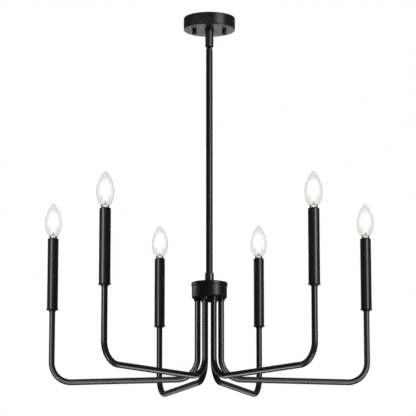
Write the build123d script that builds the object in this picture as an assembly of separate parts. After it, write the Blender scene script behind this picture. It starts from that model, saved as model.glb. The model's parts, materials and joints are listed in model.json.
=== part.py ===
from build123d import *
import math
import os

# Six-arm candle chandelier, millimetres. Origin: centre of the mounting strap's top face,
# in the ceiling plane. +Z up, +X to the right and -Y towards the viewer.

# ---- ceiling fixing ----
CANOPY_R = 53.2
CANOPY_H = 25.0
CANOPY_WALL = 1.2
CANOPY_EDGE_R = 1.4
STRAP_LENGTH = 101.0
STRAP_WIDTH = 18.0
STRAP_T = 2.5
CEILING_SCREW_SPACING = 88.9
CEILING_SLOT_LENGTH = 7.0
CEILING_SLOT_R = 2.2
STUD_X = 31.0
STUD_R = 2.0
STUD_END_Z = -31.5
CAP_NUT_R = 4.7
CAP_NUT_H = 8.5
CAP_NUT_EDGE_R = 1.4
NIPPLE_R = 5.0
NIPPLE_BORE_R = 3.6
NIPPLE_END_Z = -38.0
NUT_FLATS = 14.0
NUT_H = 4.0

# ---- hang-straight swivel ----
SWIVEL_Z = -54.0
HOUSING_R = 8.6
HOUSING_FLANGE_R = 10.2
HOUSING_FLANGE_T = 2.0
HOUSING_END_Z = -61.0
HOUSING_CAVITY_R = 7.1
HOUSING_CAVITY_TOP_Z = -42.0
RING_R = 6.6
RING_BORE_R = 4.8
RING_H = 4.0
PIN_R = 1.0
PIN_LENGTH = 3.4
PIN_BORE_R = 1.04
RING_PIN_START = 4.9
NECK_PIN_START = 2.9
NECK_R = 4.0
NECK_BORE_R = 2.6
NECK_TOP_Z = -49.0

# ---- downrod ----
ROD_R = 6.95
ROD_BORE_R = 5.25
ROD_TOP_Z = -64.0
ROD_EDGE_R = 2.0
PLUG_END_Z = -82.0
ROD_SHOULDER_Z = -544.0
SHOULDER_T = 3.0
TAIL_R = 5.0
TAIL_BORE_R = 3.6
TAIL_END_Z = -592.5
WIRE_WINDOW_H = 12.0
WIRE_WINDOW_W = 5.0
COUPLING_R = 9.25
COUPLING_TOP_Z = -534.0
COUPLING_CHAMFER = 1.8

# ---- hub ----
HUB_TOP_Z = -555.0
HUB_BOTTOM_Z = -587.6
LID_R = 36.7
LID_T = 1.5
LID_SKIRT_H = 7.5
LID_EDGE_R = 1.3
CUP_R = 35.7
CUP_WALL = 1.4
FLOOR_T = 2.0
CUP_EDGE_R = 3.4
FINIAL_R = 7.0
FINIAL_H = 7.5
FINIAL_EDGE_R = 3.0

# ---- arm pivots ----
STUB_CIRCLE_R = 24.0
BUSHING_BORE_R = 5.05
BUSHING_R = 6.4
BUSHING_FLANGE_R = 7.8
BUSHING_FLANGE_T = 4.5
BUSHING_TOP_Z = -578.0
RING_NUT_R = 7.8
RING_NUT_H = 4.0
RING_NUT_SLOT_W = 2.0
RING_NUT_SLOT_D = 1.6

# ---- arms ----
TUBE_R = 6.15
TUBE_BORE_R = 4.95
BEND_R = 42.0
ARM_Z = -751.0
CANDLE_CIRCLE_R = 330.0
STUB_NECK_R = 5.0
STUB_NECK_BORE_R = 3.9
SHOULDER_GAP = 0.3
SHOULDER_Z = HUB_BOTTOM_Z - BUSHING_FLANGE_T - SHOULDER_GAP
FLARE_R = 6.6
FLARE_T = 1.2
FLARE_GAP = 0.1

# ---- candles ----
SLEEVE_BOTTOM_Z = -599.0
SLEEVE_TOP_Z = -451.6
SLEEVE_R = 11.3
SLEEVE_BORE_R = 10.3
SLEEVE_LIP_R = 8.6
SLEEVE_LIP_T = 1.2
SLEEVE_EDGE_R = 2.2
SAUCER_R = 12.5
SAUCER_T = 1.8
SAUCER_EDGE = 0.5
CUP_BOSS_R = 8.0
CUP_FOOT_R = 7.3
CUP_DEPTH = 5.2
CUP_SPIGOT_R = 10.2
CUP_SPIGOT_H = 3.0
CANDLE_NECK_R = 5.0
CANDLE_NECK_TOP_Z = -580.0
SOCKET_FOOT_R = 8.5
SOCKET_POST_R = 6.8
SOCKET_R = 9.5
SOCKET_CUP_H = 36.0
SOCKET_TOP_Z = SLEEVE_TOP_Z - 2.0
SOCKET_BORE_R = 7.05
SOCKET_BORE_H = 30.0
SOCKET_FOOT_H = 12.0

# ---- bulbs ----
BASE_R = 6.95
BASE_ROOT_R = 6.35
BASE_PITCH = 2.8
BASE_TURNS = 6
BASE_BOTTOM_Z = SLEEVE_TOP_Z - 24.0
BASE_TIP_R = 3.0
BASE_TIP_H = 2.5
COLLAR_R = 8.1
COLLAR_BORE_R = 7.3
COLLAR_BOTTOM_Z = SLEEVE_TOP_Z + 0.4
COLLAR_TOP_Z = SLEEVE_TOP_Z + 5.0
GLASS_T = 0.8
GLASS_Z = SLEEVE_TOP_Z + 2.0
GLASS_PROFILE = (
    (7.1, 0.0), (7.2, 2.8), (9.7, 4.8), (12.7, 8.4), (15.1, 14.0), (16.8, 22.0),
    (17.4, 30.0), (16.7, 38.5), (14.3, 47.5), (10.8, 56.8), (7.0, 64.3), (3.4, 69.0),
    (0.0, 70.5),
)
FILAMENT_R = 0.9
FILAMENT_CIRCLE_R = 4.6
FILAMENT_BOTTOM_H = 15.0
FILAMENT_TOP_H = 50.0
FILAMENT_COUNT = 4
STEM_POST_R = 1.4
SPIDER_T = 1.2
STEM_FOOT_R = 5.6

# Name, azimuth of the candle and azimuth of the pivot on the hub, degrees from +X.
ARMS = (
    ("right", 12.0, 8.0),
    ("back_right", 71.0, 69.0),
    ("back_left", 109.0, 111.0),
    ("left", 168.0, 172.0),
    ("front_left", 232.5, 249.0),
    ("front_right", 307.5, 291.0),
)


def rod_between(radius, low_z, high_z, bore=0.0):
    """A vertical cylinder or tube on the Z axis between two levels."""
    height = high_z - low_z
    align = (Align.CENTER, Align.CENTER, Align.MIN)
    body = Cylinder(radius, height, align=align)
    if bore:
        body -= Cylinder(bore, height, align=align)
    return Pos(0, 0, low_z) * body


def turned(points):
    """A solid of revolution about the Z axis from (radius, z) corners."""
    profile = make_face(Polyline(*points, close=True))
    return revolve(Plane.XZ * profile, Axis.Z)


def hex_nut(low_z, bore):
    """A hexagon nut with its lower face at low_z."""
    across_corners = NUT_FLATS / math.cos(math.radians(30)) / 2
    outline = RegularPolygon(across_corners, 6) - Circle(bore)
    return Pos(0, 0, low_z) * extrude(outline, NUT_H)


def on_circle(radius, azimuth):
    """The X, Y position at a radius and azimuth."""
    angle = math.radians(azimuth)
    return radius * math.cos(angle), radius * math.sin(angle)


def mounting_strap():
    """Flat steel strap with two screw slots, two stud holes and the centre thread."""
    outline = RectangleRounded(STRAP_LENGTH, STRAP_WIDTH, STRAP_WIDTH / 2 - 0.1)
    outline -= Circle(NIPPLE_R)
    for side in (-1, 1):
        slot = SlotOverall(CEILING_SLOT_LENGTH, 2 * CEILING_SLOT_R)
        outline -= Pos(side * CEILING_SCREW_SPACING / 2, 0) * slot
        outline -= Pos(side * STUD_X, 0) * Circle(STUD_R)
    return Pos(0, 0, -STRAP_T) * extrude(outline, STRAP_T)


def canopy():
    """Shallow spun cup, open towards the ceiling."""
    outer = rod_between(CANOPY_R, -CANOPY_H, 0)
    outer = fillet(outer.edges().group_by(Axis.Z)[0], CANOPY_EDGE_R)
    body = outer - rod_between(CANOPY_R - CANOPY_WALL, CANOPY_WALL - CANOPY_H, 0)
    body -= rod_between(NIPPLE_R + 0.4, -CANOPY_H, 0)
    for side in (-1, 1):
        body -= Pos(side * STUD_X, 0, 0) * rod_between(STUD_R + 0.3, -CANOPY_H, 0)
    return body


def canopy_studs():
    """Two threaded studs that hang from the strap."""
    stud = rod_between(STUD_R, STUD_END_Z, -0.1)
    return Compound(children=[Pos(side * STUD_X, 0, 0) * stud for side in (-1, 1)])


def cap_nuts():
    """Two blind round nuts that clamp the canopy to its studs."""
    low = -CANOPY_H - CAP_NUT_H
    nut = rod_between(CAP_NUT_R, low, -CANOPY_H)
    nut = fillet(nut.edges().group_by(Axis.Z)[0], CAP_NUT_EDGE_R)
    nut -= rod_between(STUD_R, STUD_END_Z - 0.5, -CANOPY_H)
    return Compound(children=[Pos(side * STUD_X, 0, 0) * nut for side in (-1, 1)])


def canopy_nipple():
    """Threaded pipe from the strap down into the swivel housing."""
    return rod_between(NIPPLE_R, NIPPLE_END_Z, -0.1, NIPPLE_BORE_R)


def nipple_nut():
    """Hexagon nut that locks the nipple under the strap."""
    return hex_nut(-STRAP_T - NUT_H, NIPPLE_R)


def swivel_housing():
    """Round collar: threaded above, hollow below for the cross ring."""
    top = -CANOPY_H
    body = rod_between(HOUSING_R, HOUSING_END_Z, top)
    body = fillet(body.edges().group_by(Axis.Z)[0], 1.0)
    body += rod_between(HOUSING_FLANGE_R, top - HOUSING_FLANGE_T, top)
    body -= rod_between(NIPPLE_R, NIPPLE_END_Z - 0.5, top)
    body -= rod_between(NIPPLE_BORE_R, HOUSING_CAVITY_TOP_Z, top)
    body -= rod_between(HOUSING_CAVITY_R, HOUSING_END_Z, HOUSING_CAVITY_TOP_Z)
    return body - Pos(0, 0, SWIVEL_Z) * Rot(0, 90, 0) * Cylinder(PIN_BORE_R, 3 * HOUSING_R)


def swivel_ring():
    """Cross ring with four pin holes."""
    ring = Cylinder(RING_R, RING_H) - Cylinder(RING_BORE_R, RING_H)
    for turn in (0, 90):
        ring -= Rot(0, 0, turn) * Rot(0, 90, 0) * Cylinder(PIN_R, 3 * RING_R)
    return Pos(0, 0, SWIVEL_Z) * ring


def swivel_pins():
    """Four short pins: two out to the housing, two in to the neck."""
    pins = []
    for turn, start in ((0, RING_PIN_START), (180, RING_PIN_START),
                        (90, NECK_PIN_START), (270, NECK_PIN_START)):
        pin = Pos(start + PIN_LENGTH / 2, 0, 0) * Rot(0, 90, 0) * Cylinder(PIN_R, PIN_LENGTH)
        pins.append(Pos(0, 0, SWIVEL_Z) * Rot(0, 0, turn) * pin)
    return Compound(children=pins)


def swivel_neck():
    """Hollow neck that hangs in the ring and plugs into the rod."""
    neck = rod_between(NECK_R, ROD_TOP_Z, NECK_TOP_Z)
    neck += rod_between(ROD_BORE_R, PLUG_END_Z, ROD_TOP_Z - 1.0)
    neck += rod_between(NECK_R, ROD_TOP_Z - 1.0, ROD_TOP_Z)
    neck -= rod_between(NECK_BORE_R, PLUG_END_Z, NECK_TOP_Z)
    return neck - Pos(0, 0, SWIVEL_Z) * Rot(90, 0, 0) * Cylinder(PIN_BORE_R, 3 * NECK_R)


def downrod():
    """Straight tube whose reduced tail passes through the hub."""
    tube = rod_between(ROD_R, ROD_SHOULDER_Z, ROD_TOP_Z)
    tube = fillet(tube.edges().group_by(Axis.Z)[-1], ROD_EDGE_R)
    tube += rod_between(TAIL_R, TAIL_END_Z, ROD_SHOULDER_Z)
    tube -= rod_between(ROD_BORE_R, ROD_SHOULDER_Z + SHOULDER_T, ROD_TOP_Z)
    tube -= rod_between(TAIL_BORE_R, TAIL_END_Z, ROD_SHOULDER_Z + SHOULDER_T)
    window = Box(3 * TAIL_R, WIRE_WINDOW_W, WIRE_WINDOW_H)
    return tube - Pos(0, 0, (HUB_TOP_Z + HUB_BOTTOM_Z) / 2) * window


def rod_coupling():
    """Chamfered collar that joins the rod to the hub lid."""
    body = rod_between(COUPLING_R, HUB_TOP_Z, COUPLING_TOP_Z)
    body = chamfer(body.edges().group_by(Axis.Z)[-1], COUPLING_CHAMFER)
    body -= rod_between(ROD_R, ROD_SHOULDER_Z, COUPLING_TOP_Z)
    return body - rod_between(TAIL_R, HUB_TOP_Z, ROD_SHOULDER_Z)


def hub_lid():
    """Round lid whose skirt slips over the cup."""
    lid = rod_between(LID_R, HUB_TOP_Z - LID_SKIRT_H, HUB_TOP_Z)
    lid = fillet(lid.edges().group_by(Axis.Z)[-1], LID_EDGE_R)
    lid -= rod_between(CUP_R, HUB_TOP_Z - LID_SKIRT_H, HUB_TOP_Z - LID_T)
    return lid - rod_between(TAIL_R, HUB_TOP_Z - LID_T, HUB_TOP_Z)


def hub_cup():
    """Deep drawn cup that carries the six arm bushings in its floor."""
    top = HUB_TOP_Z - LID_T
    cup = rod_between(CUP_R, HUB_BOTTOM_Z, top)
    cup = fillet(cup.edges().group_by(Axis.Z)[0], CUP_EDGE_R)
    inner = rod_between(CUP_R - CUP_WALL, HUB_BOTTOM_Z + FLOOR_T, top)
    inner = fillet(inner.edges().group_by(Axis.Z)[0], CUP_EDGE_R - CUP_WALL)
    cup -= inner
    cup -= rod_between(TAIL_R, HUB_BOTTOM_Z, HUB_BOTTOM_Z + FLOOR_T)
    for _, _, pivot in ARMS:
        x, y = on_circle(STUB_CIRCLE_R, pivot)
        cup -= Pos(x, y, 0) * rod_between(BUSHING_R, HUB_BOTTOM_Z, HUB_BOTTOM_Z + FLOOR_T)
    return cup


def arm_bushings():
    """Six flanged bushings in which the arm stubs turn."""
    body = rod_between(BUSHING_R, HUB_BOTTOM_Z, BUSHING_TOP_Z)
    flange = rod_between(BUSHING_FLANGE_R, HUB_BOTTOM_Z - BUSHING_FLANGE_T, HUB_BOTTOM_Z)
    flange = chamfer(flange.edges().group_by(Axis.Z)[0], 0.8)
    bushing = body + flange
    bushing -= rod_between(BUSHING_BORE_R, HUB_BOTTOM_Z - BUSHING_FLANGE_T, BUSHING_TOP_Z)
    return Compound(children=[at_pivot(bushing, pivot) for _, _, pivot in ARMS])


def bushing_nuts():
    """Six slotted ring nuts that clamp the bushings to the hub floor."""
    low = HUB_BOTTOM_Z + FLOOR_T
    nut = rod_between(RING_NUT_R, low, low + RING_NUT_H, BUSHING_R)
    slot = Box(3 * RING_NUT_R, RING_NUT_SLOT_W, RING_NUT_SLOT_D)
    nut -= Pos(0, 0, low + RING_NUT_H - RING_NUT_SLOT_D / 2) * (
        slot - Cylinder(BUSHING_R + 0.01, RING_NUT_SLOT_D))
    return Compound(children=[at_pivot(nut, pivot) for _, _, pivot in ARMS])


def at_pivot(shape, pivot):
    """A shape moved from the Z axis to a pivot on the hub."""
    x, y = on_circle(STUB_CIRCLE_R, pivot)
    return Pos(x, y, 0) * Rot(0, 0, pivot) * shape


def hub_finial():
    """Blind round nut under the hub that takes the rod's tail."""
    low = HUB_BOTTOM_Z - FINIAL_H
    nut = rod_between(FINIAL_R, low, HUB_BOTTOM_Z)
    nut = fillet(nut.edges().group_by(Axis.Z)[0], FINIAL_EDGE_R)
    return nut - rod_between(TAIL_R, TAIL_END_Z - 0.5, HUB_BOTTOM_Z)


def arm_tube(reach):
    """Tube bent twice: down from the hub, out, and up to the candle."""
    cup_foot_z = SLEEVE_BOTTOM_Z - CUP_DEPTH
    path = FilletPolyline(
        (0, 0, SHOULDER_Z), (0, 0, ARM_Z), (reach, 0, ARM_Z), (reach, 0, cup_foot_z),
        radius=BEND_R)
    section = Plane(origin=(0, 0, SHOULDER_Z), z_dir=(0, 0, -1))
    tube = sweep(section * Circle(TUBE_R), path=path)
    tube -= sweep(section * Circle(TUBE_BORE_R), path=path)
    stub_top = BUSHING_TOP_Z + FLARE_GAP + FLARE_T
    tube += rod_between(STUB_NECK_R, SHOULDER_Z - 3.0, stub_top, STUB_NECK_BORE_R)
    tube += rod_between(FLARE_R, stub_top - FLARE_T, stub_top, STUB_NECK_BORE_R)
    tube += Pos(reach, 0, 0) * rod_between(
        CANDLE_NECK_R, cup_foot_z - 3.0, CANDLE_NECK_TOP_Z, STUB_NECK_BORE_R)
    return tube


def candle_cup():
    """Flat saucer with a tapered boss below and a spigot for the sleeve above."""
    z = SLEEVE_BOTTOM_Z
    return turned((
        (CANDLE_NECK_R, z - CUP_DEPTH), (CUP_FOOT_R, z - CUP_DEPTH),
        (CUP_BOSS_R, z - SAUCER_T), (SAUCER_R - SAUCER_EDGE, z - SAUCER_T),
        (SAUCER_R, z - SAUCER_T + SAUCER_EDGE), (SAUCER_R, z - SAUCER_EDGE),
        (SAUCER_R - SAUCER_EDGE, z), (CUP_SPIGOT_R, z),
        (CUP_SPIGOT_R, z + CUP_SPIGOT_H), (CANDLE_NECK_R, z + CUP_SPIGOT_H)))


def candle_sleeve():
    """Straight thin-walled tube with a rounded, turned-in top that hides the socket."""
    sleeve = rod_between(SLEEVE_R, SLEEVE_BOTTOM_Z, SLEEVE_TOP_Z)
    sleeve = fillet(sleeve.edges().group_by(Axis.Z)[-1], SLEEVE_EDGE_R)
    sleeve -= rod_between(SLEEVE_BORE_R, SLEEVE_BOTTOM_Z, SLEEVE_TOP_Z - SLEEVE_LIP_T)
    return sleeve - rod_between(SLEEVE_LIP_R, SLEEVE_BOTTOM_Z, SLEEVE_TOP_Z)


def lamp_socket():
    """Moulded holder: threaded foot, post, and the cup for the bulb base."""
    low = SLEEVE_BOTTOM_Z + CUP_SPIGOT_H
    cup_low = SOCKET_TOP_Z - SOCKET_CUP_H
    body = rod_between(SOCKET_FOOT_R, low, low + SOCKET_FOOT_H)
    body += rod_between(SOCKET_POST_R, low, cup_low)
    body += rod_between(SOCKET_R, cup_low, SOCKET_TOP_Z)
    body -= rod_between(CANDLE_NECK_R, low, CANDLE_NECK_TOP_Z + 1.0)
    return body - rod_between(SOCKET_BORE_R, SOCKET_TOP_Z - SOCKET_BORE_H, SOCKET_TOP_Z)


def bulb_base():
    """Screw base with rounded thread lands, contact tip and glass collar."""
    z = BASE_BOTTOM_Z
    thread_z = z + BASE_TIP_H + 0.5
    points = [(0, z), (BASE_TIP_R, z), (BASE_ROOT_R - 1.0, z + BASE_TIP_H)]
    for turn in range(BASE_TURNS):
        low = thread_z + turn * BASE_PITCH
        points += [(BASE_ROOT_R, low), (BASE_R, low + BASE_PITCH * 0.35),
                   (BASE_R, low + BASE_PITCH * 0.65)]
    points += [(BASE_ROOT_R, thread_z + BASE_TURNS * BASE_PITCH),
               (BASE_ROOT_R, COLLAR_BOTTOM_Z), (COLLAR_R, COLLAR_BOTTOM_Z),
               (COLLAR_R, COLLAR_TOP_Z), (COLLAR_BORE_R, COLLAR_TOP_Z),
               (COLLAR_BORE_R, GLASS_Z), (0, GLASS_Z)]
    return turned(points)


def bulb_glass():
    """Hollow flame-shaped envelope seated in the base's collar."""
    outer = Spline(*[(r, GLASS_Z + h) for r, h in GLASS_PROFILE])
    base = GLASS_Z
    tip_z = GLASS_Z + GLASS_PROFILE[-1][1]
    inner_points = [(r - GLASS_T, GLASS_Z + max(h, GLASS_T)) for r, h in GLASS_PROFILE[:-1]]
    inner_points.append((0.0, tip_z - 1.4 * GLASS_T))
    inner = Spline(*inner_points)
    outer_face = make_face([outer, Line((0, tip_z), (0, base)),
                            Line((0, base), outer @ 0)])
    inner_face = make_face([inner, Line(inner @ 1, (0, base + GLASS_T)),
                            Line((0, base + GLASS_T), inner @ 0)])
    return revolve(Plane.XZ * (outer_face - inner_face), Axis.Z)


def bulb_filament():
    """Glass stem post with four upright filaments between two spiders."""
    foot_z = GLASS_Z + GLASS_T
    low = GLASS_Z + FILAMENT_BOTTOM_H
    high = GLASS_Z + FILAMENT_TOP_H
    core = turned(((0, foot_z), (STEM_FOOT_R, foot_z), (STEM_POST_R, low - 3.0),
                   (STEM_POST_R, high), (0, high)))
    for level in (low, high):
        core += rod_between(STEM_POST_R + 0.2, level - SPIDER_T, level)
    for index in range(FILAMENT_COUNT):
        turn = 45 + index * 360 / FILAMENT_COUNT
        post = Pos(FILAMENT_CIRCLE_R, 0, 0) * rod_between(FILAMENT_R, low - SPIDER_T, high)
        arm = Box(FILAMENT_CIRCLE_R, SPIDER_T / 2, SPIDER_T, align=(Align.MIN, Align.CENTER,
                                                                     Align.MAX))
        core += Rot(0, 0, turn) * (post + Pos(0, 0, low) * arm + Pos(0, 0, high) * arm)
    return core


def save(name, shape):
    """One STEP file for one named piece."""
    export_step(shape, os.path.join("parts", name + ".step"))


os.makedirs("parts", exist_ok=True)
save("mounting_strap", mounting_strap())
save("canopy", canopy())
save("canopy_studs", canopy_studs())
save("cap_nuts", cap_nuts())
save("canopy_nipple", canopy_nipple())
save("nipple_nut", nipple_nut())
save("swivel_housing", swivel_housing())
save("swivel_ring", swivel_ring())
save("swivel_pins", swivel_pins())
save("swivel_neck", swivel_neck())
save("downrod", downrod())
save("rod_coupling", rod_coupling())
save("hub_lid", hub_lid())
save("hub_cup", hub_cup())
save("arm_bushings", arm_bushings())
save("bushing_nuts", bushing_nuts())
save("hub_finial", hub_finial())

candle_parts = {
    "candle_cup": candle_cup(),
    "candle_sleeve": candle_sleeve(),
    "lamp_socket": lamp_socket(),
    "bulb_base": bulb_base(),
    "bulb_glass": bulb_glass(),
    "bulb_filament": bulb_filament(),
}
for place, azimuth, pivot_azimuth in ARMS:
    candle_x, candle_y = on_circle(CANDLE_CIRCLE_R, azimuth)
    pivot_x, pivot_y = on_circle(STUB_CIRCLE_R, pivot_azimuth)
    run = math.hypot(candle_x - pivot_x, candle_y - pivot_y)
    heading = math.degrees(math.atan2(candle_y - pivot_y, candle_x - pivot_x))
    save("arm_tube_" + place, Pos(pivot_x, pivot_y, 0) * Rot(0, 0, heading) * arm_tube(run))
    for part_name, part_shape in candle_parts.items():
        placed = Pos(candle_x, candle_y, 0) * Rot(0, 0, heading) * part_shape
        save(part_name + "_" + place, placed)
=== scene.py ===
import json
import math

import bmesh
import bpy
from mathutils import Matrix, Vector


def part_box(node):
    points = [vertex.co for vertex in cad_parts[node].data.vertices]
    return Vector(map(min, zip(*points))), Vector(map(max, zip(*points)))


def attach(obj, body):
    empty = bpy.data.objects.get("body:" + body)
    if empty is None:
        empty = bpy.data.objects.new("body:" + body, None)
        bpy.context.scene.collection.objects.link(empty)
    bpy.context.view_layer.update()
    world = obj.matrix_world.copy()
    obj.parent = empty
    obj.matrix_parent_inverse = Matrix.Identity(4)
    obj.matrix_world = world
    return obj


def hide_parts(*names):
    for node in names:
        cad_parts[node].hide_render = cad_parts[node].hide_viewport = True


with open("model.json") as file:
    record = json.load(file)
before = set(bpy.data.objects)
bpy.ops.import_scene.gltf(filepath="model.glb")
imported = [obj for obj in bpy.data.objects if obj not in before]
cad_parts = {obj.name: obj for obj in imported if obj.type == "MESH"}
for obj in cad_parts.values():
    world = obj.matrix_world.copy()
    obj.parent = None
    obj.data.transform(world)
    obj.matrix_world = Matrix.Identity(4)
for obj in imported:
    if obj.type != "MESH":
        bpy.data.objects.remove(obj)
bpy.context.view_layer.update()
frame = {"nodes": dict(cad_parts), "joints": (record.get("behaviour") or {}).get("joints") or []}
nodes = frame["nodes"]

# ---------------------------------------------------------------------------------------------
# Canopy: a shallow cup spun from 1.2 mm steel sheet, open to the ceiling, with a rolled lower
# edge. Two blind cap nuts on the strap's studs clamp it up. Both are powder coated satin black.
# ---------------------------------------------------------------------------------------------
MM = 0.001
SMOOTH_ANGLE = math.radians(38)


def linear(hex_colour):
    """An sRGB hex colour as linear RGBA."""
    parts = [int(hex_colour[i:i + 2], 16) / 255 for i in (1, 3, 5)]
    return (*(c / 12.92 if c <= 0.04045 else ((c + 0.055) / 1.055) ** 2.4 for c in parts), 1.0)


def add(tree, kind, settings=None, inputs=None):
    """A node with its own settings, and a value or a link on each named input."""
    made = tree.nodes.new(kind)
    for key, value in (settings or {}).items():
        setattr(made, key, value)
    for key, value in (inputs or {}).items():
        if isinstance(value, bpy.types.NodeSocket):
            tree.links.new(value, made.inputs[key])
        else:
            made.inputs[key].default_value = value
    return made


def new_material(name):
    """An empty node material and its tree."""
    material = bpy.data.materials.new(name)
    material.use_nodes = True
    material.node_tree.nodes.clear()
    return material, material.node_tree


# Powder coat: dry polyester powder sprayed on degreased steel and baked. To the eye it is an
# even black skin with a soft, broad highlight that drifts a little in gloss.
RIPPLE_MM = 3.0       # orange peel wave, real 1 to 2 mm, too shallow to show from the camera
SPECK_MM = 0.7        # fine powder grain
FILM_MM = 60.0        # slow drift in gloss where the film is thicker
powder_black, tree = new_material("satin_black_powder_coat")
place = add(tree, "ShaderNodeTexCoord")
ripple = add(tree, "ShaderNodeTexNoise", {"noise_dimensions": "3D"}, {
    "Vector": place.outputs["Object"], "Scale": 1 / (RIPPLE_MM * MM), "Detail": 2.0})
speck = add(tree, "ShaderNodeTexNoise", {"noise_dimensions": "3D"}, {
    "Vector": place.outputs["Object"], "Scale": 1 / (SPECK_MM * MM), "Detail": 1.0})
drift = add(tree, "ShaderNodeTexNoise", {"noise_dimensions": "3D"}, {
    "Vector": place.outputs["Object"], "Scale": 1 / (FILM_MM * MM), "Detail": 2.0})
colour = add(tree, "ShaderNodeMix", {"data_type": "RGBA"}, {
    "Factor": speck.outputs["Fac"], "A": linear("#101011"), "B": linear("#18181A")})
gloss = add(tree, "ShaderNodeMapRange", None, {
    "Value": drift.outputs["Fac"], "To Min": 0.31, "To Max": 0.39})
bump = add(tree, "ShaderNodeBump", None, {
    "Height": ripple.outputs["Fac"], "Strength": 0.06, "Distance": 0.03 * MM})
shader = add(tree, "ShaderNodeBsdfPrincipled", None, {
    "Base Color": colour.outputs["Result"], "Roughness": gloss.outputs["Result"],
    "IOR": 1.5, "Normal": bump.outputs["Normal"]})
add(tree, "ShaderNodeOutputMaterial", None, {"Surface": shader.outputs[0]})


def rims(bm, radius, height):
    """The edges of the circle at that radius and height, in millimetres."""
    def on_rim(v):
        return (abs(v.co.xy.length - radius * MM) < 2e-5 and abs(v.co.z - height * MM) < 2e-5)
    return [e for e in bm.edges if all(on_rim(v) for v in e.verts)]


def turned(outline, steps=72, closed=True):
    """A bmesh lathed about Z from (radius, height, edge rounding) corners in millimetres."""
    bm = bmesh.new()
    corners = [bm.verts.new((r * MM, 0, z * MM)) for r, z, _ in outline]
    edges = [bm.edges.new(pair) for pair in zip(corners, corners[1:])]
    if closed:
        edges.append(bm.edges.new((corners[-1], corners[0])))
    bmesh.ops.spin(bm, geom=corners + edges, cent=(0, 0, 0), axis=(0, 0, 1),
                   angle=math.tau, steps=steps, use_merge=True)
    bmesh.ops.remove_doubles(bm, verts=bm.verts, dist=1e-7)
    bmesh.ops.recalc_face_normals(bm, faces=bm.faces)
    for radius, height, rounding in outline:
        if rounding:
            bmesh.ops.bevel(bm, geom=rims(bm, radius, height), offset=rounding * MM,
                            offset_type="OFFSET", affect="EDGES", profile=0.5, material=-1,
                            segments=6 if rounding > 1 else 3, clamp_overlap=True)
    return bm


def take_in(bm, other, places=(Matrix(),)):
    """Adds another bmesh to this one at each place, and frees it."""
    pattern = bpy.data.meshes.new("pattern")
    other.to_mesh(pattern)
    other.free()
    for matrix in places:
        start = len(bm.verts)
        bm.from_mesh(pattern)
        bm.verts.ensure_lookup_table()
        bmesh.ops.transform(bm, matrix=matrix, verts=bm.verts[start:])
    bpy.data.meshes.remove(pattern)
    return bm


def finished(name, bm, material, body, cad, matrix=None):
    """Makes a bmesh the piece that stands for a CAD node and rides on its body."""
    if matrix:
        bm.transform(matrix)
    mesh = bpy.data.meshes.new(name)
    bm.to_mesh(mesh)
    bm.free()
    mesh.shade_smooth()
    mesh.set_sharp_from_angle(angle=SMOOTH_ANGLE)
    mesh.materials.append(material)
    piece = bpy.data.objects.new(name, mesh)
    bpy.context.scene.collection.objects.link(piece)
    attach(piece, body)
    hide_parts(cad)
    return piece


def levels(node):
    """A CAD node's lowest and highest level in millimetres."""
    low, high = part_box(node)
    return low[2] / MM, high[2] / MM


def width(node):
    """A CAD node's width along X in millimetres."""
    low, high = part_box(node)
    return (high[0] - low[0]) / MM


low, high = levels("canopy")
radius = width("canopy") / 2
wall = 1.2
nipple_hole = 5.4
rolled_edge = 1.4
canopy = finished("canopy_shell", turned((
    (radius, low, rolled_edge), (radius, high, 0.4), (radius - wall, high, 0.4),
    (radius - wall, low + wall, 0.6), (nipple_hole, low + wall, 0.2),
    (nipple_hole, low, 0.3)),
    steps=112), powder_black, "ceiling_mount", "canopy")

low, high = levels("cap_nuts")
radius = 4.7
crown_rounding = 1.4
groove = high - 2.4
groove_half = 0.3
groove_depth = 0.5
stud_offset = 31.0
cap_nuts = finished("canopy_cap_nuts", take_in(bmesh.new(), turned((
    (0, low, 0), (radius, low, crown_rounding), (radius, groove - 2 * groove_half, 0.2),
    (radius - groove_depth, groove - groove_half, 0),
    (radius - groove_depth, groove + groove_half, 0),
    (radius, groove + 2 * groove_half, 0.2), (radius, high, 0.2), (0, high, 0)),
    steps=40, closed=False),
    [Matrix.Translation((x * MM, 0, 0)) for x in (-stud_offset, stud_offset)]),
    powder_black, "ceiling_mount", "cap_nuts")

# ---------------------------------------------------------------------------------------------
# Hidden steel of the ceiling fixing: slotted strap, studs, nipple, nut, cross ring and pins.
# Punched, threaded or turned mild steel, zinc plated before the parts are put together.
# ---------------------------------------------------------------------------------------------
# Zinc plate: a thin bright plating dulled by handling, pale blue-grey with faint spangles.
SPANGLE_MM = 6.0
zinc_plate, tree = new_material("zinc_plated_steel")
place = add(tree, "ShaderNodeTexCoord")
spangle = add(tree, "ShaderNodeTexVoronoi", {"feature": "F1"}, {
    "Vector": place.outputs["Object"], "Scale": 1 / (SPANGLE_MM * MM)})
colour = add(tree, "ShaderNodeMix", {"data_type": "RGBA"}, {
    "Factor": spangle.outputs["Distance"], "A": linear("#B9BBB8"), "B": linear("#9B9D9B")})
gloss = add(tree, "ShaderNodeMapRange", None, {
    "Value": spangle.outputs["Distance"], "To Min": 0.32, "To Max": 0.48})
shader = add(tree, "ShaderNodeBsdfPrincipled", None, {
    "Base Color": colour.outputs["Result"], "Roughness": gloss.outputs["Result"],
    "Metallic": 1.0})
add(tree, "ShaderNodeOutputMaterial", None, {"Surface": shader.outputs[0]})


def refinish(names, material):
    """Gives CAD nodes that keep their own mesh a new material."""
    for name in names:
        nodes[name].data.materials.clear()
        nodes[name].data.materials.append(material)


refinish(("mounting_strap", "canopy_studs", "canopy_nipple", "nipple_nut", "swivel_ring",
          "swivel_pins"), zinc_plate)

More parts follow.
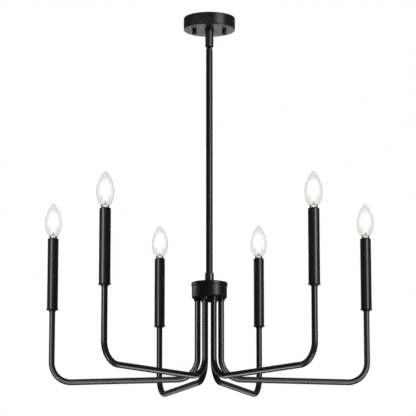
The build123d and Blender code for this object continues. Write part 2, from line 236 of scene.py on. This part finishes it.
# ---------------------------------------------------------------------------------------------
# Swivel housing and neck: a turned steel collar threaded on the nipple, open below, in which
# the hollow neck of the rod hangs and can tilt. Both are powder coated with the canopy.
# ---------------------------------------------------------------------------------------------
low, high = levels("swivel_housing")
radius = 8.6
flange_radius = 10.2
flange = 2.0
cavity = 7.1
cavity_top = high - 17.0
housing = finished("swivel_collar", turned((
    (0, high, 0), (flange_radius, high, 0.2), (flange_radius, high - flange, 0.9),
    (radius, high - flange, 0.5), (radius, low, 0.9), (cavity, low, 0.3),
    (cavity, cavity_top, 0.3), (0, cavity_top, 0)),
    steps=64, closed=False), powder_black, "ceiling_mount", "swivel_housing")
refinish(("swivel_neck",), powder_black)

# ---------------------------------------------------------------------------------------------
# Downrod and coupling: a straight drawn steel tube whose rounded top hangs below the swivel,
# and the chamfered collar that it screws into on top of the hub.
# ---------------------------------------------------------------------------------------------
low, high = levels("downrod")
radius = 6.95
mouth = 5.25
mouth_depth = 1.2
tail = 5.0
shoulder = levels("hub_lid")[1] + 11.0
rod = finished("downrod_tube", turned((
    (0, low, 0), (tail, low, 0.4), (tail, shoulder, 0.2), (radius, shoulder, 0.4),
    (radius, high, 1.3), (mouth, high, 0.1), (mouth, high - mouth_depth, 0.1),
    (0, high - mouth_depth, 0)),
    steps=64, closed=False), powder_black, "stem", "downrod")

low, high = levels("rod_coupling")
radius = 9.25
chamfer = 1.8
rod_socket = 7.0
socket_depth = 8.0
tail_bore = 5.05
coupling = finished("rod_coupling_collar", turned((
    (radius, low, 0.3), (radius, high - chamfer, 0.3), (radius - chamfer, high, 0.3),
    (rod_socket, high, 0.2), (rod_socket, high - socket_depth, 0),
    (tail_bore, high - socket_depth - 2.0, 0), (tail_bore, low, 0)),
    steps=64), powder_black, "stem", "rod_coupling")

# ---------------------------------------------------------------------------------------------
# Hub: a deep drawn steel cup and a lid whose skirt slips over it, clamped together by the
# finial nut on the rod's tail.
# ---------------------------------------------------------------------------------------------
low, high = levels("hub_lid")
radius = width("hub_lid") / 2
wall = 1.5
cup_radius = width("hub_cup") / 2
skirt_bore = cup_radius + 0.05
lid = finished("hub_lid_shell", turned((
    (tail_bore, high, 0.2), (radius, high, 1.3), (radius, low, 0.35), (skirt_bore, low, 0.2),
    (skirt_bore, high - wall, 0), (tail_bore, high - wall, 0)),
    steps=96), powder_black, "stem", "hub_lid")

low, high = levels("hub_cup")
wall = 1.4
hub_floor = low + 2.0
cup = finished("hub_cup_shell", turned((
    (tail_bore, low, 0.1), (cup_radius, low, 3.4), (cup_radius, high, 0.1),
    (cup_radius - wall, high, 0.1), (cup_radius - wall, hub_floor, 1.8),
    (tail_bore, hub_floor, 0)),
    steps=96), powder_black, "stem", "hub_cup")

low, high = levels("hub_finial")
radius = 7.0
crown_rounding = 3.0
groove_top, groove_foot = high - 0.7, high - 2.2
groove_depth = 0.7
finial = finished("hub_finial_nut", turned((
    (0, low, 0), (radius, low, crown_rounding), (radius, groove_foot, 0.2),
    (radius - groove_depth, groove_foot + 0.5, 0),
    (radius - groove_depth, groove_top - 0.5, 0), (radius, groove_top, 0.2),
    (radius, high, 0.2), (0, high, 0)),
    steps=48, closed=False), powder_black, "stem", "hub_finial")

# ---------------------------------------------------------------------------------------------
# Arm pivots: six flanged steel bushings through the hub floor, each clamped by a slotted
# brass ring nut inside. Only their flanges show, as dark ferrules around the arm stubs.
# ---------------------------------------------------------------------------------------------
pivots = {j["child"]: Vector(j["pos_m"]) for j in frame["joints"] if "swing" in j["name"]}
candles = {j["child"]: Vector(j["pos_m"]) for j in frame["joints"] if "bulb" in j["name"]}
low, high = levels("arm_bushings")
seat = levels("hub_cup")[0]
stub_bore = 5.05
flange_radius = 7.8
shank = 6.4
bushings = finished("arm_bushing_set", take_in(bmesh.new(), turned((
    (stub_bore, low, 0.2), (flange_radius, low, 0.9), (flange_radius, seat, 0.2),
    (shank, seat, 0), (shank, high, 0.3), (stub_bore, high, 0.2)), steps=48),
    [Matrix.Translation((p.x, p.y, 0)) for p in pivots.values()]),
    powder_black, "stem", "arm_bushings")

# Turned brass, as it leaves the lathe: warm yellow with fine streaks and a clear shine.
LATHE_LINE_MM = 0.6
turned_brass, tree = new_material("turned_brass")
place = add(tree, "ShaderNodeTexCoord")
lines = add(tree, "ShaderNodeTexNoise", {"noise_dimensions": "3D"}, {
    "Vector": place.outputs["Object"], "Scale": 1 / (LATHE_LINE_MM * MM), "Detail": 2.0})
colour = add(tree, "ShaderNodeMix", {"data_type": "RGBA"}, {
    "Factor": lines.outputs["Fac"], "A": linear("#C9A557"), "B": linear("#B08A43")})
shader = add(tree, "ShaderNodeBsdfPrincipled", None, {
    "Base Color": colour.outputs["Result"], "Roughness": 0.3, "Metallic": 1.0})
add(tree, "ShaderNodeOutputMaterial", None, {"Surface": shader.outputs[0]})
refinish(("bushing_nuts",), turned_brass)

# ---------------------------------------------------------------------------------------------
# Arms: 12 mm steel tube, bent twice on one former, swaged to 10 mm at both ends and flared
# over its bushing inside the hub. Powder coated after bending.
# ---------------------------------------------------------------------------------------------
TUBE = 6.15
NECK = 5.0
BORE = 3.9
BEND = 42.0
BEND_STEPS = 18
FLARE = 6.6
FLARE_RIM = 1.2
FLARE_CONE = 0.4
SHOULDER_EDGE = 0.5
CAPPED_DEPTH = 6.0
NECK_ABOVE_PLATE = 19.0


def grow(bm, ring, shift, scale=1.0):
    """Extrudes an open ring of edges, scales it about its centre and moves it."""
    made = bmesh.ops.extrude_edge_only(bm, edges=ring)["geom"]
    verts = [g for g in made if isinstance(g, bmesh.types.BMVert)]
    centre = sum((v.co for v in verts), Vector()) / len(verts)
    bmesh.ops.scale(bm, vec=(scale, scale, scale), space=Matrix.Translation(-centre),
                    verts=verts)
    bmesh.ops.translate(bm, vec=shift, verts=verts)
    fresh = set(verts)
    return [g for g in made
            if isinstance(g, bmesh.types.BMEdge) and all(v in fresh for v in g.verts)]


def bend(bm, ring, centre):
    """Sweeps a ring a quarter turn about a bend centre, towards the candle."""
    verts = list({v for e in ring for v in e.verts})
    swept = bmesh.ops.spin(bm, geom=verts + ring, cent=centre, axis=(0, 1, 0),
                           angle=-math.pi / 2, steps=BEND_STEPS)["geom_last"]
    return [g for g in swept if isinstance(g, bmesh.types.BMEdge)]


def bent_arm(run, top, foot, neck_top, axis_z, shoulder_z):
    """The whole tube with its stub on the Z axis and its candle end at x = run, in mm."""
    bm = bmesh.new()
    bmesh.ops.create_circle(bm, segments=40, radius=BORE * MM, cap_ends=True,
                            matrix=Matrix.Translation((0, 0, (top - CAPPED_DEPTH) * MM)))
    rim_foot = top - FLARE_RIM - FLARE_CONE
    ring = list(bm.edges)
    ring = grow(bm, ring, (0, 0, CAPPED_DEPTH * MM))
    ring = grow(bm, ring, (0, 0, 0), FLARE / BORE)
    ring = grow(bm, ring, (0, 0, -FLARE_RIM * MM))
    ring = grow(bm, ring, (0, 0, -FLARE_CONE * MM), NECK / FLARE)
    ring = grow(bm, ring, (0, 0, (shoulder_z - rim_foot) * MM))
    ring = grow(bm, ring, (0, 0, -0.1 * MM), (TUBE - SHOULDER_EDGE) / NECK)
    ring = grow(bm, ring, (0, 0, -SHOULDER_EDGE * MM), TUBE / (TUBE - SHOULDER_EDGE))
    ring = grow(bm, ring, (0, 0, (axis_z + BEND - shoulder_z + 0.1 + SHOULDER_EDGE) * MM))
    ring = bend(bm, ring, (BEND * MM, 0, (axis_z + BEND) * MM))
    ring = grow(bm, ring, ((run - 2 * BEND) * MM, 0, 0))
    ring = bend(bm, ring, ((run - BEND) * MM, 0, (axis_z + BEND) * MM))
    ring = grow(bm, ring, (0, 0, (foot - axis_z - BEND) * MM))
    ring = grow(bm, ring, (0, 0, 0), NECK / TUBE)
    ring = grow(bm, ring, (0, 0, (neck_top - foot) * MM))
    ring = grow(bm, ring, (0, 0, 0), BORE / NECK)
    ring = grow(bm, ring, (0, 0, -CAPPED_DEPTH * MM))
    bmesh.ops.edgeloop_fill(bm, edges=ring)
    bmesh.ops.recalc_face_normals(bm, faces=bm.faces)
    return bm


arms = {}
for body, pivot in pivots.items():
    side = body.removeprefix("arm_")
    reach = (candles["bulb_" + side] - pivot).xy
    turn = Matrix.Rotation(math.atan2(reach.y, reach.x), 4, "Z")
    tube_low, tube_high = levels("arm_tube_" + side)
    tube = bent_arm(run=reach.length / MM, top=tube_high,
                    foot=levels("candle_cup_" + side)[0],
                    neck_top=levels("candle_sleeve_" + side)[0] + NECK_ABOVE_PLATE,
                    axis_z=tube_low + TUBE, shoulder_z=levels("arm_bushings")[0] - 0.3)
    arms[side] = [finished(
        "arm_" + side + "_tube", tube, powder_black, body, "arm_tube_" + side,
        Matrix.Translation((pivot.x, pivot.y, 0)) @ turn)]

# ---------------------------------------------------------------------------------------------
# Candle cup and sleeve: a thin turned saucer with a short boss, threaded on the tube's end, and
# a straight 22 mm steel sleeve with a rounded, turned-in top that drops over the lamp holder.
# ---------------------------------------------------------------------------------------------
SAUCER = 12.5
SAUCER_THICK = 1.8
SAUCER_EDGE = 0.5
BOSS_FOOT, BOSS_TOP = 7.3, 8.0
SPIGOT = 10.2
SLEEVE = 11.3
SLEEVE_BORE = 10.3
SLEEVE_MOUTH = 8.6
SLEEVE_ROUNDING = 2.2
TURNED_IN = 1.2
for side, parts in arms.items():
    candle = candles["bulb_" + side]
    at_candle = Matrix.Translation((candle.x, candle.y, 0))
    low, high = levels("candle_cup_" + side)
    plate = levels("candle_sleeve_" + side)[0]
    parts.append(finished("candle_" + side + "_cup", turned((
        (stub_bore, low, 0.1), (BOSS_FOOT, low, 0.5), (BOSS_TOP, plate - SAUCER_THICK, 0.2),
        (SAUCER, plate - SAUCER_THICK, SAUCER_EDGE), (SAUCER, plate, SAUCER_EDGE),
        (SPIGOT, plate, 0), (SPIGOT, high, 0.3), (stub_bore, high, 0.2)), steps=56),
        powder_black, "arm_" + side, "candle_cup_" + side, at_candle))
    low, high = levels("candle_sleeve_" + side)
    parts.append(finished("candle_" + side + "_sleeve", turned((
        (SLEEVE, low, 0.3), (SLEEVE, high, SLEEVE_ROUNDING), (SLEEVE_MOUTH, high, 0.3),
        (SLEEVE_MOUTH, high - TURNED_IN, 0.2), (SLEEVE_BORE, high - TURNED_IN, 0.2),
        (SLEEVE_BORE, low, 0.2)), steps=64),
        powder_black, "arm_" + side, "candle_sleeve_" + side, at_candle))

# ---------------------------------------------------------------------------------------------
# Lamp holders: moulded phenolic bodies on the arms' necks, hidden inside the sleeves.
# Pressed hot from dark wood-filled powder, and left unpainted.
# ---------------------------------------------------------------------------------------------
# Phenolic: near-black brown, matt, with a barely seen grain from its filler.
GRAIN_MM = 1.5
phenolic, tree = new_material("moulded_phenolic")
place = add(tree, "ShaderNodeTexCoord")
grain = add(tree, "ShaderNodeTexNoise", {"noise_dimensions": "3D"}, {
    "Vector": place.outputs["Object"], "Scale": 1 / (GRAIN_MM * MM), "Detail": 4.0})
colour = add(tree, "ShaderNodeMix", {"data_type": "RGBA"}, {
    "Factor": grain.outputs["Fac"], "A": linear("#221D19"), "B": linear("#2E2822")})
bump = add(tree, "ShaderNodeBump", None, {
    "Height": grain.outputs["Fac"], "Strength": 0.15, "Distance": 0.05 * MM})
shader = add(tree, "ShaderNodeBsdfPrincipled", None, {
    "Base Color": colour.outputs["Result"], "Roughness": 0.5, "IOR": 1.6,
    "Normal": bump.outputs["Normal"]})
add(tree, "ShaderNodeOutputMaterial", None, {"Surface": shader.outputs[0]})
refinish(["lamp_socket_" + side for side in arms], phenolic)

# ---------------------------------------------------------------------------------------------
# Bulb bases: pressed brass screw shells, nickel plated, with a rolled collar that is cemented
# to the glass. Only the collar and the last thread turn show above the sleeve.
# ---------------------------------------------------------------------------------------------
# Nickel plate: a slightly warm silver, rubbed a little dull by screwing the bulb in and out.
SCUFF_MM = 2.0
nickel_plate, tree = new_material("nickel_plated_brass")
place = add(tree, "ShaderNodeTexCoord")
scuff = add(tree, "ShaderNodeTexNoise", {"noise_dimensions": "3D"}, {
    "Vector": place.outputs["Object"], "Scale": 1 / (SCUFF_MM * MM), "Detail": 3.0})
colour = add(tree, "ShaderNodeMix", {"data_type": "RGBA"}, {
    "Factor": scuff.outputs["Fac"], "A": linear("#CFCDC8"), "B": linear("#B9B5AE")})
gloss = add(tree, "ShaderNodeMapRange", None, {
    "Value": scuff.outputs["Fac"], "To Min": 0.26, "To Max": 0.38})
shader = add(tree, "ShaderNodeBsdfPrincipled", None, {
    "Base Color": colour.outputs["Result"], "Roughness": gloss.outputs["Result"],
    "Metallic": 1.0})
add(tree, "ShaderNodeOutputMaterial", None, {"Surface": shader.outputs[0]})

THREAD = 6.95
ROOT = 6.35
PITCH = 2.8
TURNS = 6
CREST = (0.9, 1.9)
CONTACT = 3.0
COLLAR = 8.1
COLLAR_HEIGHT = 4.6
GLASS_SEAT = 7.3
bases = []
for side in arms:
    candle = candles["bulb_" + side]
    low, high = levels("bulb_base_" + side)
    seat = levels("bulb_glass_" + side)[0]
    thread = low + CONTACT
    outline = [(0, low, 0), (CONTACT, low, 0.5), (ROOT - 1.0, thread - 0.5, 0.2)]
    for turn in range(TURNS):
        start = thread + turn * PITCH
        outline.append((ROOT, start, 0))
        outline += [(THREAD, start + edge, 0.3) for edge in CREST]
    outline += [(ROOT, thread + TURNS * PITCH, 0), (ROOT, high - COLLAR_HEIGHT, 0.2),
                (COLLAR, high - COLLAR_HEIGHT, 0.5), (COLLAR, high, 0.35),
                (GLASS_SEAT, high, 0.25), (GLASS_SEAT, seat, 0), (0, seat, 0)]
    bases.append(finished(
        "bulb_" + side + "_base", turned(outline, steps=48, closed=False), nickel_plate,
        "bulb_" + side, "bulb_base_" + side,
        Matrix.Translation((candle.x, candle.y, 0))))

# ---------------------------------------------------------------------------------------------
# Bulb glass: a clear soda-lime envelope blown to a flame shape, 0.8 mm thick, with a closed
# foot that holds the filament stem.
# ---------------------------------------------------------------------------------------------
# Blown glass: clear with a faint grey tint and slow waves. Painted glow: the glass gets a soft
# warm emission of its own around the filaments' height, where it faces the camera, standing for
# their glare. It clears towards the tip, the foot and the edges.
WAVE_MM = 14.0
GLARE_HEIGHT = 37.0
GLARE_INNER = 9.0
GLARE_OUTER = 21.0
clear_glass, tree = new_material("clear_blown_glass")
place = add(tree, "ShaderNodeTexCoord")
wave = add(tree, "ShaderNodeTexNoise", {"noise_dimensions": "3D"}, {
    "Vector": place.outputs["Object"], "Scale": 1 / (WAVE_MM * MM), "Detail": 1.0})
bump = add(tree, "ShaderNodeBump", None, {
    "Height": wave.outputs["Fac"], "Strength": 0.05, "Distance": 0.1 * MM})
edge = add(tree, "ShaderNodeLayerWeight", None, {"Blend": 0.5})
# Painted edge light: the glass's tint turns a touch lighter where it is seen edge-on, set by the
# viewing angle alone.
painted_edge_light_mask = add(tree, "ShaderNodeMapRange", {"interpolation_type": "SMOOTHSTEP"}, {
    "Value": edge.outputs["Facing"], "From Min": 0.15, "From Max": 0.75})
tint_and_painted_edge_light = add(tree, "ShaderNodeMix", {"data_type": "RGBA"}, {
    "Factor": painted_edge_light_mask.outputs["Result"], "A": linear("#F2F2F2"), "B": linear("#F6F6F6")})
height = add(tree, "ShaderNodeSeparateXYZ", None, {"Vector": place.outputs["Object"]})
off_centre = add(tree, "ShaderNodeMath", {"operation": "SUBTRACT"}, {
    0: height.outputs["Z"], 1: (levels("bulb_glass_right")[0] + GLARE_HEIGHT) * MM})
distance = add(tree, "ShaderNodeMath", {"operation": "ABSOLUTE"}, {0: off_centre.outputs[0]})
near_core = add(tree, "ShaderNodeMapRange", {"interpolation_type": "SMOOTHSTEP"}, {
    "Value": distance.outputs[0], "From Min": GLARE_OUTER * MM, "From Max": GLARE_INNER * MM})
towards_core = add(tree, "ShaderNodeMapRange", {"interpolation_type": "SMOOTHSTEP"}, {
    "Value": edge.outputs["Facing"], "From Min": 0.26, "From Max": 0.04})
glare = add(tree, "ShaderNodeMath", {"operation": "MULTIPLY"}, {
    0: near_core.outputs["Result"], 1: towards_core.outputs["Result"]})
# Painted glow: warm white emission on the glass wherever the glare mask is high.
painted_glare_colour = add(tree, "ShaderNodeMix", {"data_type": "RGBA"}, {
    "Factor": glare.outputs[0], "A": linear("#000000"), "B": linear("#FFFDF4")})
shader = add(tree, "ShaderNodeBsdfPrincipled", None, {
    "Base Color": tint_and_painted_edge_light.outputs["Result"], "Roughness": 0.06, "IOR": 1.45,
    "Transmission Weight": 1.0, "Normal": bump.outputs["Normal"],
    "Emission Color": painted_glare_colour.outputs["Result"], "Emission Strength": 0.12})
add(tree, "ShaderNodeOutputMaterial", None, {"Surface": shader.outputs[0]})
clear_glass.cycles.emission_sampling = "NONE"

FLAME = ((0, 70.5), (3.4, 69.0), (7.0, 64.3), (10.8, 56.8), (14.3, 47.5), (16.7, 38.5),
         (17.4, 30.0), (16.8, 22.0), (15.1, 14.0), (12.7, 8.4), (9.7, 4.8), (7.2, 2.8),
         (7.1, 0.0))
GLASS_WALL = 0.8
TIP_WALL = 1.4 * GLASS_WALL


def blown(points, steps):
    """A bmesh lathed about Z from a smooth line through (radius, height) points in mm."""
    curve = bpy.data.curves.new("outline", "CURVE")
    curve.dimensions = "3D"
    curve.resolution_u = 4
    line = curve.splines.new("BEZIER")
    line.bezier_points.add(len(points) - 1)
    for knot, (r, z) in zip(line.bezier_points, points):
        knot.co = (r * MM, 0, z * MM)
        knot.handle_left_type = knot.handle_right_type = "AUTO"
    holder = bpy.data.objects.new("outline", curve)
    outline = bpy.data.meshes.new_from_object(holder)
    bm = bmesh.new()
    bm.from_mesh(outline)
    bpy.data.objects.remove(holder)
    bpy.data.meshes.remove(outline)
    bmesh.ops.spin(bm, geom=bm.verts[:] + bm.edges[:], cent=(0, 0, 0), axis=(0, 0, 1),
                   angle=math.tau, steps=steps, use_merge=True)
    bmesh.ops.remove_doubles(bm, verts=bm.verts, dist=1e-6)
    bmesh.ops.holes_fill(bm, edges=bm.edges, sides=steps)
    bmesh.ops.recalc_face_normals(bm, faces=bm.faces)
    return bm


for side in arms:
    candle = candles["bulb_" + side]
    seat = levels("bulb_glass_" + side)[0]
    roof = FLAME[0][1] - TIP_WALL
    envelope = blown([(r, seat + h) for r, h in FLAME], 48)
    hollow = blown([(max(r - GLASS_WALL, 0), seat + min(max(h, GLASS_WALL), roof))
                    for r, h in FLAME], 48)
    bmesh.ops.reverse_faces(hollow, faces=hollow.faces)
    finished("bulb_" + side + "_glass", take_in(envelope, hollow), clear_glass,
             "bulb_" + side, "bulb_glass_" + side,
             Matrix.Translation((candle.x, candle.y, 0)))

# ---------------------------------------------------------------------------------------------
# Lit filaments: four upright phosphor-coated sticks between two wire spiders, on a clear glass
# stem that is melted into the bulb's foot.
# ---------------------------------------------------------------------------------------------
# Phosphor: pale yellow silicone on the sticks. Lit, it burns out to warm white, and only its
# cooler lowest part still shows yellow.
BEAD_MM = 1.2
YELLOW_TO = 15.5
WHITE_FROM = 19.5
bulb_foot = levels("bulb_glass_right")[0]
phosphor, tree = new_material("lit_phosphor_filament")
place = add(tree, "ShaderNodeTexCoord")
beads = add(tree, "ShaderNodeTexNoise", {"noise_dimensions": "3D"}, {
    "Vector": place.outputs["Object"], "Scale": 1 / (BEAD_MM * MM), "Detail": 2.0})
glow = add(tree, "ShaderNodeMix", {"data_type": "RGBA"}, {
    "Factor": beads.outputs["Fac"], "A": linear("#FFF9E6"), "B": linear("#FFF4D6")})
height = add(tree, "ShaderNodeSeparateXYZ", None, {"Vector": place.outputs["Object"]})
foot = add(tree, "ShaderNodeMapRange", {"interpolation_type": "SMOOTHSTEP"}, {
    "Value": height.outputs["Z"], "From Min": (bulb_foot + YELLOW_TO) * MM,
    "From Max": (bulb_foot + WHITE_FROM) * MM})
warmth = add(tree, "ShaderNodeMix", {"data_type": "RGBA"}, {
    "Factor": foot.outputs["Result"], "A": linear("#FBE08A"), "B": glow.outputs["Result"]})
shader = add(tree, "ShaderNodeBsdfPrincipled", None, {
    "Base Color": linear("#F5E6A8"), "Roughness": 0.45, "IOR": 1.5,
    "Emission Color": warmth.outputs["Result"], "Emission Strength": 3.0})
add(tree, "ShaderNodeOutputMaterial", None, {"Surface": shader.outputs[0]})
phosphor.cycles.emission_sampling = "NONE"

# Stem glass: pressed, thicker and a touch greyer than the envelope, with fine seeds in it.
SEED_MM = 3.0
stem_glass, tree = new_material("pressed_glass_stem")
place = add(tree, "ShaderNodeTexCoord")
seed = add(tree, "ShaderNodeTexNoise", {"noise_dimensions": "3D"}, {
    "Vector": place.outputs["Object"], "Scale": 1 / (SEED_MM * MM), "Detail": 1.0})
colour = add(tree, "ShaderNodeMix", {"data_type": "RGBA"}, {
    "Factor": seed.outputs["Fac"], "A": linear("#EFEFEC"), "B": linear("#E2E2DC")})
shader = add(tree, "ShaderNodeBsdfPrincipled", None, {
    "Base Color": colour.outputs["Result"], "Roughness": 0.12, "IOR": 1.5,
    "Transmission Weight": 0.85})
add(tree, "ShaderNodeOutputMaterial", None, {"Surface": shader.outputs[0]})

STICK = 0.9
STICK_TIP = 0.6 * STICK
STICK_CIRCLE = 3.6
STICK_FOOT = 13.0
STICK_TOP = 50.0
TIP = 1.2
WIRE = 0.35
STEM_FOOT = 5.4
quarters = [Matrix.Rotation(math.radians(45 + 90 * n), 4, "Z") for n in range(4)]
out_to_stick = Matrix.Translation((STICK_CIRCLE * MM, 0, 0))
half_way_out = Matrix.Translation((STICK_CIRCLE / 2 * MM, 0, 0))
lying = Matrix.Rotation(math.pi / 2, 4, "Y")
for side in arms:
    candle = candles["bulb_" + side]
    seat = levels("bulb_glass_" + side)[0]
    low, high = seat + STICK_FOOT, seat + STICK_TOP
    core = take_in(bmesh.new(), turned((
        (0, low - TIP, 0), (STICK_TIP, low - TIP, 0), (STICK, low, 0), (STICK, high - TIP, 0),
        (STICK_TIP, high, 0), (0, high, 0)), steps=10, closed=False),
        [quarter @ out_to_stick for quarter in quarters])
    glowing = len(core.faces)
    take_in(core, turned((
        (0, seat + GLASS_WALL, 0), (STEM_FOOT, seat + GLASS_WALL, 0.3), (2.2, low - 5.0, 0.6),
        (1.6, low - 1.0, 0.4), (0, low - 1.0, 0)), steps=24, closed=False))
    for level in (low - TIP / 2, high - TIP / 2):
        for quarter in quarters:
            bmesh.ops.create_cone(
                core, cap_ends=True, segments=8, radius1=WIRE * MM, radius2=WIRE * MM,
                depth=STICK_CIRCLE * MM,
                matrix=Matrix.Translation((0, 0, level * MM)) @ quarter @ half_way_out @ lying)
    core.faces.ensure_lookup_table()
    for face in core.faces[glowing:]:
        face.material_index = 1
    piece = finished("bulb_" + side + "_filament", core, phosphor, "bulb_" + side,
                     "bulb_filament_" + side,
                     Matrix.Translation((candle.x, candle.y, 0)))
    piece.data.materials.append(stem_glass)

# ---------------------------------------------------------------------------------------------
# Studio: a plain pale floor far below the lamp, in a white room. Soft strips at each side give
# the uprights their long highlights, and small soft boxes below give the runs and bends theirs.
# Each light shines only on its own pieces, as if flags kept it off the others.
# ---------------------------------------------------------------------------------------------
# Painted concrete: matt off-white with a slow mottle.
FLOOR_Z = -9.5
MOTTLE_MM = 1000.0 / 3
studio_floor, tree = new_material("pale_studio_floor")
place = add(tree, "ShaderNodeTexCoord")
mottle = add(tree, "ShaderNodeTexNoise", {"noise_dimensions": "3D"}, {
    "Vector": place.outputs["Object"], "Scale": 1 / (MOTTLE_MM * MM), "Detail": 3.0})
colour = add(tree, "ShaderNodeMix", {"data_type": "RGBA"}, {
    "Factor": mottle.outputs["Fac"], "A": linear("#E6E6E4"), "B": linear("#ECECEA")})
shader = add(tree, "ShaderNodeBsdfPrincipled", None, {
    "Base Color": colour.outputs["Result"], "Roughness": 0.8})
add(tree, "ShaderNodeOutputMaterial", None, {"Surface": shader.outputs[0]})
bm = bmesh.new()
bmesh.ops.create_grid(bm, x_segments=8, y_segments=8, size=50.0,
                      matrix=Matrix.Translation((0, 0, FLOOR_Z)))
sheet = bpy.data.meshes.new("studio_floor")
bm.to_mesh(sheet)
bm.free()
sheet.materials.append(studio_floor)
ground = bpy.data.objects.new("studio_floor", sheet)
bpy.context.scene.collection.objects.link(ground)
ground.visible_glossy = False
ground.visible_diffuse = False

ROOM_GLOW = 0.11
world = bpy.data.worlds.new("studio")
bpy.context.scene.world = world
world.use_nodes = True
world.node_tree.nodes.clear()
tree = world.node_tree
ray = add(tree, "ShaderNodeLightPath")
seen = add(tree, "ShaderNodeMath", {"operation": "MAXIMUM"}, {
    0: ray.outputs["Is Camera Ray"], 1: ray.outputs["Is Transmission Ray"]})
dim = add(tree, "ShaderNodeBackground", None, {
    "Color": (1, 1, 1, 1), "Strength": ROOM_GLOW})
white = add(tree, "ShaderNodeBackground", None, {"Color": (1, 1, 1, 1), "Strength": 1.0})
both = add(tree, "ShaderNodeMixShader", None, {
    0: seen.outputs[0], 1: dim.outputs[0], 2: white.outputs[0]})
add(tree, "ShaderNodeOutputWorld", None, {"Surface": both.outputs[0]})
world.cycles.sampling_method = "NONE"


def hung_light(name, data, pieces):
    """A light in the scene that shines only on the given pieces."""
    lamp = bpy.data.objects.new(name, data)
    bpy.context.scene.collection.objects.link(lamp)
    group = bpy.data.collections.new(name + "_lights")
    for piece in pieces:
        group.objects.link(piece)
    lamp.light_linking.receiver_collection = group
    return lamp


def soft_light(name, where, towards, size, power, pieces):
    """A rectangular soft light on the given pieces, unseen by the camera."""
    data = bpy.data.lights.new(name, "AREA")
    data.shape = "RECTANGLE"
    data.size, data.size_y = size
    data.energy = power
    lamp = hung_light(name, data, pieces)
    lamp.location = where
    aim = Vector(towards) - Vector(where)
    lamp.rotation_euler = aim.to_track_quat("-Z", "Y").to_euler()
    lamp.visible_camera = False


tubes = {side: parts[0] for side, parts in arms.items()}
hub_pieces = [lid, cup, coupling]
right_pieces = [cap_nuts, housing, rod, coupling, finial, bushings]
left_pieces = []
for side, parts in arms.items():
    (left_pieces if "left" in side else right_pieces).extend(parts[1:])

soft_light("right_strip", (1.42, -1.85, -0.1), (0, 0, -0.1), (0.65, 2.6), 54, right_pieces)
soft_light("left_strip", (-1.5, -1.8, -0.1), (0, 0, -0.1), (0.7, 2.6), 56, left_pieces)
soft_light("canopy_strip", (1.62, -1.46, 0.5), (0, 0, 0), (1.1, 1.4), 20, [canopy])
soft_light("canopy_fill", (-1.6, -1.7, 0.5), (0, 0, 0), (4.5, 1.5), 9, [canopy, housing])
soft_light("canopy_under", (0, 2.6, -1.0), (0, 0, -0.02), (5.0, 1.6), 22, [canopy])
soft_light("hub_strip", (1.6, -1.55, 0), (0, 0, -0.57), (0.9, 1.4), 26, hub_pieces)
soft_light("hub_edge", (-2.0, 0.9, 0), (0, 0, -0.57), (1.3, 1.4), 9, hub_pieces)
soft_light("base_front", (0, -1.6, -0.1), (0, 0, -0.4), (7.0, 1.6), 55, bases)
soft_light("arm_under", (0, -1.2, -2.05), (0, 0, -0.75), (3.2, 0.6), 75,
           [tubes["left"], tubes["right"]])
for way, hand in ((-1, "left"), (1, "right")):
    front, middle, back = tubes["front_" + hand], tubes[hand], tubes["back_" + hand]
    soft_light(hand + "_tube_strip", (way * 1.45, -1.83, -0.12), (0, 0, -0.12), (0.68, 0.8),
               33, [front, back])
    soft_light(hand + "_side_strip", (way * 1.75, -1.7, -0.16), (0, 0, -0.16), (0.5, 0.6),
               31, [middle])
    soft_light("front_arm_" + hand, (way * -1.59, 0.65, -1.92), (way * 0.1, -0.14, -0.75),
               (0.8, 0.8), 20, [front])
    soft_light("front_bend_" + hand, (way * 0.44, -0.73, -2.1), (way * 0.19, -0.25, -0.72),
               (0.8, 0.8), 14, [front])
    soft_light("side_bend_" + hand, (way * 1.85, -1.11, -1.2), (way * 0.3, 0.06, -0.73),
               (0.7, 0.7), 18, [middle])
    soft_light("back_arm_" + hand, (way * 0.97, 2.02, -1.52), (way * 0.06, 0.17, -0.75),
               (0.8, 0.8), 3.2, [back])
    soft_light("back_strip_" + hand, (way * 1.15, 2.1, 0.15), (0, 0, -0.3), (0.7, 2.6), 10,
               {*right_pieces, *left_pieces,
                *(tube for side, tube in tubes.items() if "back" not in side)})
wash = bpy.data.lights.new("floor_wash", "SUN")
wash.energy = 3.3
hung_light("floor_wash", wash, [ground])

# ---------------------------------------------------------------------------------------------
# Camera: a long lens on a stand in front of the lamp and below its arms, tilted up, so that the
# whole fixture fits with a little air around it.
# ---------------------------------------------------------------------------------------------
TILT_UP = math.radians(11.03)
lens = bpy.data.cameras.new("studio_camera")
lens.sensor_width = 36.0
lens.lens = 199.6
lens.clip_end = 100
camera = bpy.data.objects.new("studio_camera", lens)
bpy.context.scene.collection.objects.link(camera)
camera.location = (-0.0028, -4.625, -1.302)
camera.rotation_euler = (math.pi / 2 + TILT_UP, 0, 0)
bpy.context.scene.camera = camera
bpy.context.scene.view_settings.view_transform = "Standard"
